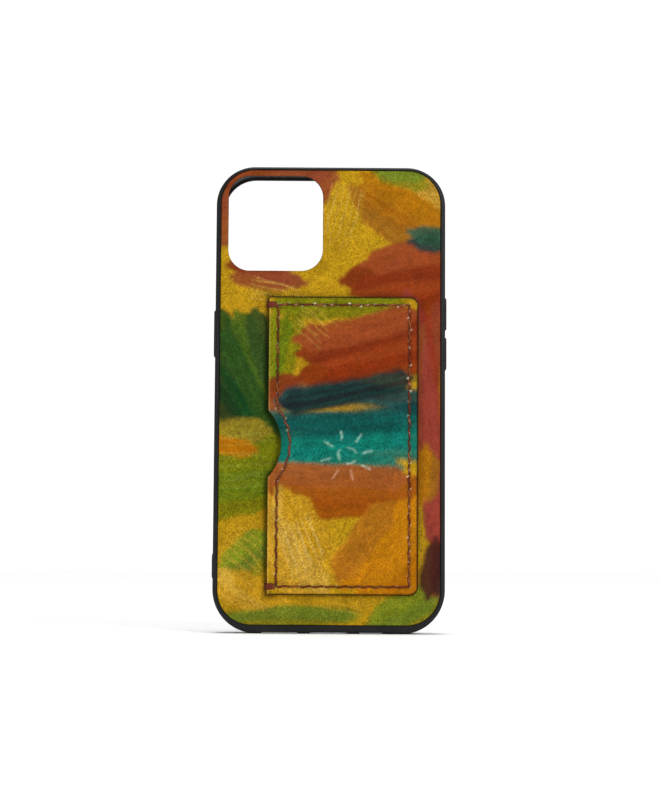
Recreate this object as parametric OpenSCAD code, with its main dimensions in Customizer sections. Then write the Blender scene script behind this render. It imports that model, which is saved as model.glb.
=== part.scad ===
// Bumper case for a 6.1-inch phone, with a leather back and a stitched card pocket.
// It stands upright on its bottom edge: +Z is up the case, the leather back faces -Y
// and the phone goes in from +Y. The origin is the bottom centre of the whole case.

/* [Phone] */
// Width of the cavity for the phone
cavity_w = 71.7; // [70:0.1:74]
// Height of the cavity for the phone
cavity_h = 147.0; // [145:0.1:150]
// Depth of the cavity, the phone's thickness and a little air
cavity_d = 7.75; // [7.4:0.05:8.2]
// Corner radius of the cavity
cavity_r = 11.1; // [10:0.1:12]

/* [Bumper frame] */
// Thickness of the frame's two side walls
side_wall = 1.5; // [1.4:0.1:2]
// Thickness of the frame's wall at the top end
top_wall = 1.6; // [1.4:0.1:2.4]
// Thickness of the frame's wall at the bottom end
bottom_wall = 3.0; // [2.4:0.1:3.4]
// Radius of the frame's two bottom corners
bottom_r = 14.0; // [12.6:0.1:14.4]
// Height of the lip that stands over the screen
lip_t = 1.0; // [0.8:0.1:1.4]
// How far the lip reaches over the screen's edge
lip_overlap = 0.8; // [0.5:0.05:1]
// Rounding of the frame's outer edge at the screen
front_round = 1.6; // [0.8:0.1:2]
// Rounding of the frame's outer edge at the leather
back_round = 1.1; // [0.6:0.1:1.2]
// How far the frame's rim stands above the leather
rim_proud = 0.2; // [0.1:0.05:0.4]

/* [Back] */
// Thickness of the microfibre lining
lining_t = 0.4; // [0.3:0.05:0.6]
// How far the lining stops short of the cavity's walls
lining_inset = 0.9; // [0.9:0.05:1.2]
// Thickness of the adhesive film under the lining
lining_glue_t = 0.1; // [0.05:0.05:0.15]
// Thickness of the stiff back plate
plate_t = 1.0; // [0.8:0.1:1.2]
// How far the plate's edge sits in the frame's groove
plate_grip = 0.6; // [0.4:0.1:0.7]
// Thickness of the adhesive film under the leather
leather_glue_t = 0.15; // [0.1:0.05:0.2]
// Thickness of the back leather
leather_t = 0.9; // [0.8:0.05:1.1]
// Width of the back leather
leather_w = 71.6; // [71:0.1:72]
// Margin from the case's top to the leather
leather_top_margin = 1.1; // [1:0.1:1.4]
// Margin from the case's bottom to the leather
leather_bottom_margin = 2.7; // [2:0.1:3]
// Corner radius of the leather
leather_r = 11; // [10.5:0.1:11.2]

/* [Camera window] */
// Width of the camera window
window_w = 30.8; // [30:0.1:31.5]
// Height of the camera window
window_h = 31.2; // [30:0.1:31.5]
// Corner radius of the camera window
window_r = 7; // [5:0.5:9]
// Centre of the camera window, left of the case's middle
window_left = 18.0; // [17.5:0.1:18.2]
// Centre of the camera window above the case's bottom
window_z = 132.9; // [132:0.1:133]

/* [Card pocket] */
// Width of the pocket
pocket_w = 48.4; // [47:0.1:50]
// Height of the pocket
pocket_h = 96.4; // [95.2:0.1:98]
// Left, open edge of the pocket, measured from the case's middle
pocket_left = 19.8; // [19:0.1:20.5]
// Bottom edge of the pocket above the case's bottom
pocket_bottom = 12.3; // [12:0.1:14]
// Corner radius of the pocket's right side
pocket_r = 2.8; // [2:0.1:4]
// Thickness of the pocket's leather
panel_t = 1.0; // [0.8:0.1:1.2]
// Thickness of the lining behind the pocket's leather
pocket_lining_t = 0.25; // [0.2:0.01:0.3]
// Room for the cards behind the pocket
card_gap = 0.9; // [0.85:0.05:1.2]
// Depth of the thumb notch in the open edge
notch_depth = 4.2; // [3:0.1:5]
// Width of the thumb notch along the open edge
notch_chord = 21.4; // [18:0.1:24]
// How far the thumb notch is above the pocket's middle
notch_rise = 0.2; // [-5:0.1:5]

/* [Stitching] */
// Distance from the pocket's edge to the seam, top and bottom
seam_inset = 2.7; // [2.5:0.1:2.8]
// Distance from the pocket's edge to the seam, left and right
seam_side_inset = 2.9; // [2.7:0.1:3]
// Aimed length of one stitch
stitch_pitch = 4.0; // [3.5:0.1:4.5]
// Width of a laid stitch
thread_w = 0.6; // [0.4:0.05:0.7]
// Thickness of a laid stitch
thread_t = 0.35; // [0.3:0.05:0.4]

/* [Buttons and cut-outs] */
// Width of a button cap across the side wall
cap_w = 3.2; // [2.8:0.1:3.6]
// How far a button cap stands out of the wall
cap_proud = 0.7; // [0.4:0.05:0.8]
// Travel of a button
button_travel = 0.3; // [0.2:0.05:0.3]
// Length of the power button
power_len = 15.6; // [14:0.1:17]
// Centre of the power button above the case's bottom
power_z = 97.2; // [96:0.1:100]
// Length of each volume button
volume_len = 10.8; // [10:0.1:10.9]
// Centre of the volume-up button above the case's bottom
volume_up_z = 104.1; // [104:0.1:105]
// Centre of the volume-down button above the case's bottom
volume_down_z = 91.0; // [90:0.1:91.1]
// Centre of the mute-switch cut-out above the case's bottom
mute_z = 118.5; // [118:0.1:119.5]
// Length of the mute-switch cut-out
mute_len = 9.0; // [8:0.1:10]
// Half width of the charging-port cut-out
port_half_w = 6.1; // [5.5:0.1:6.3]
// How much lower the feet between the bottom cut-outs stand
foot_height = 0.45; // [0.3:0.05:0.6]
// Centre of the strap bar above the case's bottom
strap_z = 21.4; // [20:0.1:30]

/* [Hidden] */
$fn = 96;
eps = 0.5;
seam_lap = 0.01;

// Outer size of the frame
case_w = cavity_w + 2 * side_wall;
case_h = bottom_wall + cavity_h + top_wall;
case_r = cavity_r + side_wall;

// Depth of each surface behind the lip's face, from the screen towards the leather
lining_face_d = lip_t + cavity_d;
lining_glue_d = lining_face_d + lining_t;
plate_d = lining_glue_d + lining_glue_t;
plate_back_d = plate_d + plate_t;
leather_d = plate_back_d + leather_glue_t;
leather_back_d = leather_d + leather_t;
frame_d = leather_back_d + rim_proud;
flange_d = leather_back_d + pocket_lining_t;
flange_back_d = flange_d + panel_t;
crown_back_d = flange_back_d + card_gap;
thread_sunk = 0.2;
thread_proud = thread_t - thread_sunk;
total_d = crown_back_d + thread_proud;
lip_y = total_d / 2;

// The opening inside the lip and the leather's recess
lip_w = cavity_w - 2 * lip_overlap;
lip_h = cavity_h - 2 * lip_overlap;
cavity_z = bottom_wall + cavity_h / 2;
leather_h = case_h - leather_top_margin - leather_bottom_margin;
leather_z = leather_bottom_margin + leather_h / 2;
leather_gap = 0.15;
plate_w = cavity_w + 2 * plate_grip;
plate_h = cavity_h + 2 * plate_grip;
window_clear = 0.3;

// Edges of the pocket
pocket_x0 = -pocket_left;
pocket_x1 = pocket_x0 + pocket_w;
pocket_z0 = pocket_bottom;
pocket_z1 = pocket_z0 + pocket_h;
pocket_z = (pocket_z0 + pocket_z1) / 2;

// The thumb notch is an arc, and its topstitch is an arc about the same centre
notch_r = (pow(notch_chord / 2, 2) + pow(notch_depth, 2)) / (2 * notch_depth);
notch_x = pocket_x0 + notch_depth - notch_r;
notch_z = pocket_z + notch_rise;
notch_seam_r = notch_r + seam_side_inset;
notch_seam_angle = acos((notch_r + seam_side_inset - notch_depth) / notch_seam_r);

// Where the raised middle of the pocket starts, measured in from its edge
slope_start = 3.7;
slope_end = 5.2;
slot_inset = 4.5;
slot_wall = 0.25;
mouth_seam_start = 1.2;
crown_sunk = 0.2;

// Corners and ends of the two seams
seam_x0 = pocket_x0 + seam_side_inset;
seam_x1 = pocket_x1 - seam_side_inset;
seam_z0 = pocket_z0 + seam_inset;
seam_z1 = pocket_z1 - seam_inset;
mouth_z0 = pocket_z0 + slope_end + mouth_seam_start;
mouth_z1 = pocket_z1 - slope_end - mouth_seam_start;
mouth_notch_z0 = notch_z - notch_seam_r * sin(notch_seam_angle);
mouth_notch_z1 = notch_z + notch_seam_r * sin(notch_seam_angle);

// Equal steps from a up to but not including b, in (x, z) pairs
function steps(a, b) = let (n = round(norm(b - a) / stitch_pitch))
    [for (i = [0:n - 1]) a + (b - a) * i / n];

// Needle holes of the seam round the pocket's top, right and bottom
seam_holes = concat(
    steps([seam_x0, seam_z1], [seam_x1, seam_z1]),
    steps([seam_x1, seam_z1], [seam_x1, seam_z0]),
    steps([seam_x1, seam_z0], [seam_x0, seam_z0]),
    [[seam_x0, seam_z0]]
);

// Needle holes of the topstitch down the open edge and round the thumb notch
notch_stitches = round(2 * notch_seam_angle * PI / 180 * notch_seam_r / stitch_pitch);
mouth_holes = concat(
    steps([seam_x0, mouth_z1], [seam_x0, mouth_notch_z1]),
    [for (i = [0:notch_stitches - 1])
        let (a = notch_seam_angle * (1 - 2 * i / notch_stitches))
        [notch_x + notch_seam_r * cos(a), notch_z + notch_seam_r * sin(a)]],
    steps([seam_x0, mouth_notch_z0], [seam_x0, mouth_z0]),
    [[seam_x0, mouth_z0]]
);

needle_hole_r = 0.4;
leg_r = 0.35;
leg_dip = 0.1;
groove_clear = 0.1;
stitch_gap = 0.4;
bobbin_t = 0.25;
bobbin_groove = 0.2;
mouth_bobbin_t = 0.3;

// A bar tack crosses the pocket's open edge at each end of the opening
tack_z_off = 2.7;
tack_h = 1.9;
tack_in = 2.4;
tack_out = 0.9;
tack_ribs = 6;
tack_t = 0.2;
tack_rib_t = 0.12;
tack_rib_fill = 0.6;
tack_edge_t = 0.1;
tack_leg_r = 0.25;
tack_leg_pitch = 0.7;
tack_leg_in = 2.0;
tack_leg_out = -0.5;
tack_leg_stop = 0.3;
tack_leg_d = leather_d + tack_leg_stop;
tack_zs = [pocket_z1 - tack_z_off, pocket_z0 + tack_z_off];

// Where a bar tack's threads go down, x from the pocket's open edge
function tack_holes(z, x) = [for (s = [-1, 0, 1]) [pocket_x0 + x, z + s * tack_leg_pitch]];
tack_on_panel = concat(tack_holes(tack_zs[0], tack_leg_in), tack_holes(tack_zs[1], tack_leg_in));
tack_on_back = concat(tack_holes(tack_zs[0], tack_leg_out), tack_holes(tack_zs[1], tack_leg_out));

// Buttons sit at the middle of the phone's thickness
button_d = lip_t + cavity_d / 2;
button_y = lip_y - button_d;
cap_clear = 0.15;
cap_edge = 0.25;
cap_step = 0.2;
flange_t = 0.5;
flange_lap = 0.9;
flange_clear = 0.15;
flange_gap = 0.05;
phone_gap = 0.05;
seat_depth = phone_gap + button_travel + flange_t + flange_gap;

// Cut-outs at the bottom, from the case's middle
speaker_x0 = -21.8;
speaker_x1 = -9.9;
mic_x0 = 9.9;
mic_x1 = 17.4;
port_w = 6.4;
grille_w = 4.6;
mute_w = 5.6;
strap_pad_h = 7.9;
strap_pad_w = 4.4;
strap_pad_t = 0.5;
strap_hole_h = 1.8;
strap_hole_w = 3.0;
strap_hole_pitch = 4.6;
strap_relief = 0.7;

// A flat outline in (x, z), given a thickness from depth d0 to depth d1
module layer(d0, d1) {
    translate([0, lip_y - d0, 0])
        rotate([90, 0, 0])
            linear_extrude(d1 - d0)
                children();
}

// A rectangle with round corners about (x, z)
module round_rect(w, h, r, x = 0, z = 0) {
    translate([x, z]) {
        square([w - 2 * r, h], center = true);
        square([w, h - 2 * r], center = true);
        for (sx = [-1, 1], sz = [-1, 1])
            translate([sx * (w / 2 - r), sz * (h / 2 - r)])
                circle(r);
    }
}

module window_outline(extra = 0) {
    round_rect(window_w + 2 * extra, window_h + 2 * extra, window_r + extra,
        -window_left, window_z);
}

// Half of the frame's cross-section: distance from an axis, and height above the back
module rim_section(reach) {
    square([reach - front_round, frame_d]);
    translate([0, back_round])
        square([reach, frame_d - back_round - front_round]);
    translate([reach - back_round, 0])
        intersection() {
            translate([0, back_round])
                circle(back_round);
            square(back_round);
        }
    square([reach - back_round, frame_d - front_round]);
    translate([reach - front_round, frame_d - front_round])
        intersection() {
            circle(front_round);
            square(front_round);
        }
}

// Half of the frame's outer form, its end towards +Y, with corners of radius r
module tablet_end(r) {
    half_w = case_w / 2;
    half_h = case_h / 2;
    // the straight end, with its rounded edge
    translate([-(half_w - r), 0, 0])
        rotate([90, 0, 90])
            linear_extrude(2 * (half_w - r))
                rim_section(half_h);
    for (m = [0, 1])
        mirror([m, 0, 0])
            translate([half_w - r, half_h - r, 0]) {
                // half of a side
                rotate([90, 0, 0])
                    linear_extrude(half_h - r + seam_lap)
                        rim_section(r);
                // the corner
                rotate_extrude(angle = 90)
                    rim_section(r);
            }
}

// The frame's outer form as a full tablet with rounded edges, back down on z = 0
module tablet_flat() {
    tablet_end(case_r);
    mirror([0, 1, 0])
        tablet_end(bottom_r);
}

module tablet() {
    translate([0, lip_y - frame_d, case_h / 2])
        rotate([90, 0, 0])
            mirror([0, 0, 1])
                tablet_flat();
}

// A long slot with round ends, length along Z, cut through a side wall from x0 to x1
module side_slot(x0, x1, z, len, width) {
    translate([x0, button_y, z])
        rotate([90, 0, 90])
            linear_extrude(x1 - x0) {
                square([width, len - width], center = true);
                for (s = [-1, 1])
                    translate([0, s * (len - width) / 2])
                        circle(width / 2);
            }
}

// A slot with round ends, cut up through the bottom wall between x0 and x1
module bottom_slot(x0, x1, width) {
    translate([(x0 + x1) / 2, button_y, -eps])
        linear_extrude(bottom_wall + 2 * eps) {
            square([x1 - x0 - width, width], center = true);
            for (s = [-1, 1])
                translate([s * (x1 - x0 - width) / 2, 0])
                    circle(width / 2);
        }
}

// The frame's seat for one button: a slot for the cap and a wider pocket behind it
module button_seat(side, z, len) {
    mirror([side < 0 ? 1 : 0, 0, 0]) {
        side_slot(case_w / 2 - side_wall - eps, case_w / 2 + eps, z,
            len + 2 * cap_clear, cap_w + 2 * cap_clear);
        side_slot(case_w / 2 - side_wall - eps, case_w / 2 - side_wall + seat_depth, z,
            len + 2 * (flange_lap + flange_clear), cap_w + 2 * (flange_lap + flange_clear));
    }
}

// One button cover: the cap that shows and the wider flange that keeps it in
module button(side, z, len) {
    flange_x1 = case_w / 2 - side_wall + seat_depth - flange_gap;
    mirror([side < 0 ? 1 : 0, 0, 0]) {
        side_slot(flange_x1 - flange_t, flange_x1, z,
            len + 2 * flange_lap, cap_w + 2 * flange_lap);
        side_slot(flange_x1 - flange_t, case_w / 2 + cap_proud - cap_step, z, len, cap_w);
        side_slot(flange_x1 - flange_t, case_w / 2 + cap_proud, z, len - 2 * cap_edge,
            cap_w - 2 * cap_edge);
    }
}

// A scoop across the bottom end that leaves the feet beside it standing proud
module bottom_scoop(x0, x1) {
    translate([x0, lip_y - frame_d - eps, -eps])
        cube([x1 - x0, frame_d + 2 * eps, eps + foot_height]);
}

// The strap bar's holes, the relief behind it and its raised pad
module strap_holes() {
    for (s = [-1, 1])
        side_slot(-case_w / 2 - strap_pad_t - eps, -case_w / 2 + side_wall + eps,
            strap_z + s * strap_hole_pitch / 2, strap_hole_w, strap_hole_h);
}

module strap_pad() {
    side_slot(-case_w / 2 - strap_pad_t, -case_w / 2 + eps, strap_z,
        strap_pad_h, strap_pad_w);
}

module strap_back_relief() {
    side_slot(-case_w / 2 + side_wall - strap_relief, -case_w / 2 + side_wall + eps,
        strap_z, strap_pad_h, strap_hole_w);
}

module bumper_frame() {
    color("#1d1d1f")
        difference() {
            union() {
                tablet();
                strap_pad();
            }
            // cavity, lip opening, plate groove and leather recess
            layer(lip_t, plate_d + seam_lap)
                round_rect(cavity_w, cavity_h, cavity_r, 0, cavity_z);
            layer(-eps, lip_t + seam_lap)
                round_rect(lip_w, lip_h, cavity_r - lip_overlap, 0, cavity_z);
            layer(plate_d, plate_back_d)
                round_rect(plate_w, plate_h, cavity_r + plate_grip, 0, cavity_z);
            layer(plate_back_d - seam_lap, frame_d + eps)
                round_rect(leather_w + 2 * leather_gap, leather_h + 2 * leather_gap,
                    leather_r + leather_gap, 0, leather_z);
            button_seat(-1, power_z, power_len);
            button_seat(1, volume_up_z, volume_len);
            button_seat(1, volume_down_z, volume_len);
            side_slot(case_w / 2 - side_wall - eps, case_w / 2 + eps, mute_z, mute_len, mute_w);
            bottom_slot(-port_half_w, port_half_w, port_w);
            bottom_slot(speaker_x0, speaker_x1, grille_w);
            bottom_slot(mic_x0, mic_x1, grille_w);
            bottom_scoop(-port_half_w, port_half_w);
            bottom_scoop(speaker_x0, speaker_x1);
            bottom_scoop(mic_x0, mic_x1);
            strap_holes();
            strap_back_relief();
        }
}

module back_plate() {
    color("#34363a")
        layer(plate_d, plate_back_d)
            difference() {
                round_rect(plate_w, plate_h, cavity_r + plate_grip, 0, cavity_z);
                window_outline(window_clear);
            }
}

module lining_outline() {
    difference() {
        round_rect(cavity_w - 2 * lining_inset, cavity_h - 2 * lining_inset,
            cavity_r - lining_inset, 0, cavity_z);
        window_outline(window_clear);
    }
}

module lining_adhesive() {
    color("#d9d2b8")
        layer(lining_glue_d, plate_d)
            lining_outline();
}

module microfibre_lining() {
    color("#3a3b3f")
        layer(lining_face_d, lining_glue_d)
            lining_outline();
}

module leather_adhesive() {
    color("#cfc7a8")
        layer(plate_back_d, leather_d)
            difference() {
                round_rect(leather_w, leather_h, leather_r, 0, leather_z);
                window_outline(window_clear);
            }
}

// Round holes at every point of a list, from depth d0 to depth d1
module holes(points, r, d0, d1) {
    for (p = points)
        layer(d0, d1)
            translate(p)
                circle(r, $fn = 24);
}

// One straight bar between two points, w wide, from depth d0 to depth d1
module bar(a, b, w, d0, d1, shorten = 0) {
    length = norm(b - a);
    layer(d0, d1)
        translate((a + b) / 2)
            rotate(atan2(b[1] - a[1], b[0] - a[0]))
                square([length - shorten, w], center = true);
}

// A row of laid stitches from hole to hole
module stitches(points, w, d0, d1, shorten) {
    for (i = [0:len(points) - 2])
        bar(points[i], points[i + 1], w, d0, d1, shorten);
}

// The groove that a row of stitches is pressed into
module groove(points, d0, d1) {
    stitches(points, thread_w + groove_clear, d0, d1, -thread_w - groove_clear);
}

module back_leather() {
    color("#b98a1f")
        difference() {
            layer(leather_d, leather_back_d)
                difference() {
                    round_rect(leather_w, leather_h, leather_r, 0, leather_z);
                    window_outline();
                }
            holes(seam_holes, needle_hole_r, leather_d - eps, leather_back_d + eps);
            groove(seam_holes, leather_d - eps, leather_d + bobbin_t);
            holes(concat(tack_on_panel, tack_on_back), tack_leg_r, tack_leg_d,
                leather_back_d + eps);
        }
}

// The pocket's outline, with round right corners and the thumb notch
module pocket_outline(inset = 0) {
    difference() {
        union() {
            translate([pocket_x0, pocket_z0 + inset])
                square([pocket_w - pocket_r - inset, pocket_h - 2 * inset]);
            translate([pocket_x0, pocket_z0 + pocket_r + inset])
                square([pocket_w - inset, pocket_h - 2 * pocket_r - 2 * inset]);
            for (z = [pocket_z0 + pocket_r + inset, pocket_z1 - pocket_r - inset])
                translate([pocket_x1 - pocket_r - inset, z])
                    circle(pocket_r);
        }
        notch_cut();
    }
}

module notch_cut() {
    translate([notch_x, notch_z])
        circle(notch_r, $fn = 180);
}

// A plain block over the pocket's middle, open towards the mouth, inset from its edge
module middle_block(inset, d0, d1, reach = 0) {
    layer(d0, d1)
        translate([pocket_x0 - reach, pocket_z0 + inset])
            square([pocket_w - inset + reach, pocket_h - 2 * inset]);
}

module pocket_lining() {
    color("#5b4a2c")
        difference() {
            union() {
                layer(leather_back_d, flange_d)
                    pocket_outline();
                intersection() {
                    middle_block(slot_inset, leather_back_d, flange_d + card_gap);
                    layer(leather_back_d, flange_d + card_gap)
                        pocket_outline();
                }
            }
            middle_block(slot_inset + slot_wall, leather_back_d - eps,
                leather_back_d + card_gap, eps);
            holes(seam_holes, needle_hole_r, leather_back_d - eps, flange_d + eps);
            holes(mouth_holes, needle_hole_r, leather_back_d, flange_back_d);
            groove(mouth_holes, leather_back_d + card_gap - eps,
                leather_back_d + card_gap + bobbin_groove);
            holes(tack_on_panel, tack_leg_r, leather_back_d - eps, flange_d + eps);
        }
}

// The raised middle of the pocket, with sloping sides
module crown() {
    hull() {
        middle_block(slope_start, flange_back_d - crown_sunk, flange_back_d);
        middle_block(slope_end, flange_back_d, crown_back_d);
    }
}

module pocket_panel() {
    color("#c07a1c")
        difference() {
            intersection() {
                union() {
                    layer(flange_d, flange_back_d)
                        pocket_outline();
                    crown();
                }
                layer(flange_d, crown_back_d + eps)
                    pocket_outline();
            }
            middle_block(slot_inset, flange_d - eps, flange_d + card_gap, eps);
            holes(seam_holes, needle_hole_r, flange_d - eps, flange_back_d + eps);
            groove(seam_holes, flange_back_d - thread_sunk, flange_back_d + eps);
            holes(mouth_holes, needle_hole_r, flange_d, crown_back_d + eps);
            groove(mouth_holes, crown_back_d - thread_sunk, crown_back_d + eps);
            holes(tack_on_panel, tack_leg_r, flange_d - eps, flange_back_d + eps);
        }
}

// One row of laid thread and its legs down the needle holes, legs from d_leg to d1
module thread_row(points, d0, d1, leg0, leg1) {
    stitches(points, thread_w, d0, d1, stitch_gap);
    holes(points, leg_r, leg0, leg1);
}

module pocket_seam_thread() {
    color("#6e3a26")
        thread_row(seam_holes, flange_back_d - thread_sunk, flange_back_d + thread_proud,
            leather_back_d, flange_back_d + thread_proud - leg_dip);
}

module pocket_seam_bobbin_thread() {
    color("#7a4330")
        thread_row(seam_holes, leather_d, leather_d + bobbin_t, leather_d + leg_dip,
            leather_back_d);
}

module mouth_topstitch_thread() {
    color("#6e3a26")
        thread_row(mouth_holes, crown_back_d - thread_sunk, crown_back_d + thread_proud,
            flange_d + card_gap, crown_back_d + thread_proud - leg_dip);
}

module mouth_bobbin_thread() {
    slot_d = leather_back_d + card_gap;
    color("#7a4330")
        thread_row(mouth_holes, slot_d + bobbin_groove - mouth_bobbin_t,
            slot_d + bobbin_groove, slot_d, flange_d + card_gap);
}

// Section of a bar tack across the pocket's open edge, raised by t
module tack_section(t) {
    polygon([
        [tack_in, flange_back_d],
        [tack_in, flange_back_d + t],
        [-tack_edge_t, flange_back_d + t],
        [-tack_out, leather_back_d + t],
        [-tack_out, leather_back_d],
        [0, leather_back_d],
        [0, flange_back_d]
    ]);
}

module bartack(z) {
    rib_pitch = tack_h / tack_ribs;
    translate([pocket_x0, lip_y, z]) {
        mirror([0, 1, 0]) {
            linear_extrude(tack_h, center = true)
                tack_section(tack_t);
            for (i = [0:tack_ribs - 1])
                translate([0, 0, (i - (tack_ribs - 1) / 2) * rib_pitch])
                    linear_extrude(rib_pitch * tack_rib_fill, center = true)
                        tack_section(tack_t + tack_rib_t);
        }
    }
    holes(tack_holes(z, tack_leg_in), tack_leg_r, tack_leg_d, flange_back_d);
    holes(tack_holes(z, tack_leg_out), tack_leg_r, tack_leg_d, leather_back_d);
}

module bartack_top() {
    color("#5f2f20")
        bartack(tack_zs[0]);
}

module bartack_bottom() {
    color("#5f2f20")
        bartack(tack_zs[1]);
}

module power_button() {
    color("#26262a")
        button(-1, power_z, power_len);
}

module volume_up_button() {
    color("#26262a")
        button(1, volume_up_z, volume_len);
}

module volume_down_button() {
    color("#26262a")
        button(1, volume_down_z, volume_len);
}

bumper_frame();
back_plate();
lining_adhesive();
microfibre_lining();
leather_adhesive();
back_leather();
pocket_lining();
pocket_panel();
pocket_seam_thread();
pocket_seam_bobbin_thread();
mouth_topstitch_thread();
mouth_bobbin_thread();
bartack_top();
bartack_bottom();
power_button();
volume_up_button();
volume_down_button();
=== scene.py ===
import math

import bmesh
import bpy
import numpy as np
from mathutils import Matrix, Vector


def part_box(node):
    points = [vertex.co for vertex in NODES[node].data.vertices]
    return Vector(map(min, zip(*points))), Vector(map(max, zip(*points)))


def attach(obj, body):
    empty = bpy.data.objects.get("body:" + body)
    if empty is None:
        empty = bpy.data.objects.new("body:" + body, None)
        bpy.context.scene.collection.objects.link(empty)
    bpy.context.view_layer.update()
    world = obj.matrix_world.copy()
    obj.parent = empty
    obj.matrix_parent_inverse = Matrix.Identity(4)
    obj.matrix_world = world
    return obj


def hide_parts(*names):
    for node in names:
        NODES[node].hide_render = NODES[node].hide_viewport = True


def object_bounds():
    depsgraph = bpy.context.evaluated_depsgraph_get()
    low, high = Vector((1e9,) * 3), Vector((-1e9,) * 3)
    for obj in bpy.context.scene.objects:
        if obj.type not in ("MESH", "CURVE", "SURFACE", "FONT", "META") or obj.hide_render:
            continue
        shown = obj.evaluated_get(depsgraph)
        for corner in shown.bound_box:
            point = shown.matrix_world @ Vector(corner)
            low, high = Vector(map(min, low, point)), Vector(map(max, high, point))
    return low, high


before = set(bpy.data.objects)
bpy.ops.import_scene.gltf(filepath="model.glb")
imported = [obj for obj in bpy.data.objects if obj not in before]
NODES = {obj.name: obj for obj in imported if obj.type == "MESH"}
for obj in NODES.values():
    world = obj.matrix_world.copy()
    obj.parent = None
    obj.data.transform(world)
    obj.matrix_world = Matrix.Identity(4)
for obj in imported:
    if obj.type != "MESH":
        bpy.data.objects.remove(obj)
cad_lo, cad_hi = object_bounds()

MM = 0.001


# ---- Places, in millimetres, worked out from the CAD nodes' boxes ----

def box_mm(node):
    """Lowest and highest corner of a CAD node in millimetres."""
    lo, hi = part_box(node)
    return np.array(lo) / MM, np.array(hi) / MM


LEATHER_LO, LEATHER_HI = box_mm("back_leather")
PANEL_LO, PANEL_HI = box_mm("pocket_panel")
LINING_LO, LINING_HI = box_mm("pocket_lining")
SOFT_LO, SOFT_HI = box_mm("microfibre_lining")

LEATHER_CORNER = 11.0
LINING_CORNER = 10.2
LEATHER_BACK = LEATHER_LO[1]
LEATHER_THICK = LEATHER_HI[1] - LEATHER_LO[1]

WINDOW_W = 30.8
WINDOW_H = 31.2
WINDOW_CORNER = 7.0
WINDOW_X = -18.0
WINDOW_Z = 132.9
WINDOW_CLEAR = 0.3

POCKET_CORNER = 2.8
CROWN_Y = PANEL_LO[1]
PANEL_THICK = 1.0
CARD_GAP = 0.9
FLANGE_Y = CROWN_Y + CARD_GAP
NOTCH_DEPTH = 4.2
NOTCH_CHORD = 21.4
NOTCH_RISE = 0.2
NOTCH_R = ((NOTCH_CHORD / 2) ** 2 + NOTCH_DEPTH ** 2) / (2 * NOTCH_DEPTH)
NOTCH_X = PANEL_LO[0] + NOTCH_DEPTH - NOTCH_R
NOTCH_Z = (PANEL_LO[2] + PANEL_HI[2]) / 2 + NOTCH_RISE

SEAM_INSET = 2.7
SEAM_SIDE_INSET = 2.9
STITCH_PITCH = 4.0
SEAM_X0 = PANEL_LO[0] + SEAM_SIDE_INSET
SEAM_X1 = PANEL_HI[0] - SEAM_SIDE_INSET
SEAM_Z0 = PANEL_LO[2] + SEAM_INSET
SEAM_Z1 = PANEL_HI[2] - SEAM_INSET


def steps(a, b):
    """Points in equal steps from a up to but not including b."""
    a = np.array(a)
    b = np.array(b)
    count = int(round(np.linalg.norm(b - a) / STITCH_PITCH))
    return [tuple(a + (b - a) * i / count) for i in range(count)]


def seam_holes():
    """Needle holes of the seam round the pocket's top, right and bottom."""
    corners = [(SEAM_X0, SEAM_Z1), (SEAM_X1, SEAM_Z1), (SEAM_X1, SEAM_Z0), (SEAM_X0, SEAM_Z0)]
    holes = []
    for a, b in zip(corners, corners[1:]):
        holes += steps(a, b)
    return holes + [corners[-1]]


def mouth_holes():
    """Needle holes of the topstitch along the open edge and round the thumb notch."""
    radius = NOTCH_R + SEAM_SIDE_INSET
    reach = math.acos((SEAM_X0 - NOTCH_X) / radius)
    rise = radius * math.sin(reach)
    count = int(round(2 * reach * radius / STITCH_PITCH))
    top = steps((SEAM_X0, SEAM_Z1), (SEAM_X0, NOTCH_Z + rise))
    bend = [(NOTCH_X + radius * math.cos(reach * (1 - 2 * i / count)),
             NOTCH_Z + radius * math.sin(reach * (1 - 2 * i / count)))
            for i in range(count)]
    last = (SEAM_X0, SEAM_Z0)
    return top + bend + steps((SEAM_X0, NOTCH_Z - rise), last) + [last]


SEAM_HOLES = seam_holes()
MOUTH_HOLES = mouth_holes()


# ---- Numbers shared by shapes and paint ----

LATTICE_SEED = 11
LATTICE_LAYERS = 12
LATTICE_SIZE = 64
LATTICE = np.random.default_rng(LATTICE_SEED).uniform(
    -1.0, 1.0, (LATTICE_LAYERS, LATTICE_SIZE, LATTICE_SIZE))
FAR = 1e9


def noise(x, z, size, layer=0):
    """Smooth noise from -1 to 1 whose features are about size across."""
    table = LATTICE[layer % LATTICE_LAYERS]
    count = LATTICE_SIZE
    gx = np.asarray(x) / size + 7.3 * layer + 200.0
    gz = np.asarray(z) / size + 3.1 * layer + 200.0
    ix = np.floor(gx).astype(int)
    iz = np.floor(gz).astype(int)
    fx = gx - ix
    fz = gz - iz
    fx = fx * fx * (3 - 2 * fx)
    fz = fz * fz * (3 - 2 * fz)
    near = table[ix % count, iz % count] * (1 - fx) + table[(ix + 1) % count, iz % count] * fx
    far = (table[ix % count, (iz + 1) % count] * (1 - fx)
           + table[(ix + 1) % count, (iz + 1) % count] * fx)
    return near * (1 - fz) + far * fz


def ease(low, high, value):
    """0 below low, 1 above high, and smooth between."""
    t = np.clip((value - low) / (high - low), 0.0, 1.0)
    return t * t * (3 - 2 * t)


def linear(colour):
    """A #rrggbb colour as linear red, green and blue."""
    values = np.array([int(colour[i:i + 2], 16) for i in (1, 3, 5)]) / 255.0
    return np.where(values <= 0.04045, values / 12.92, ((values + 0.055) / 1.055) ** 2.4)


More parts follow.
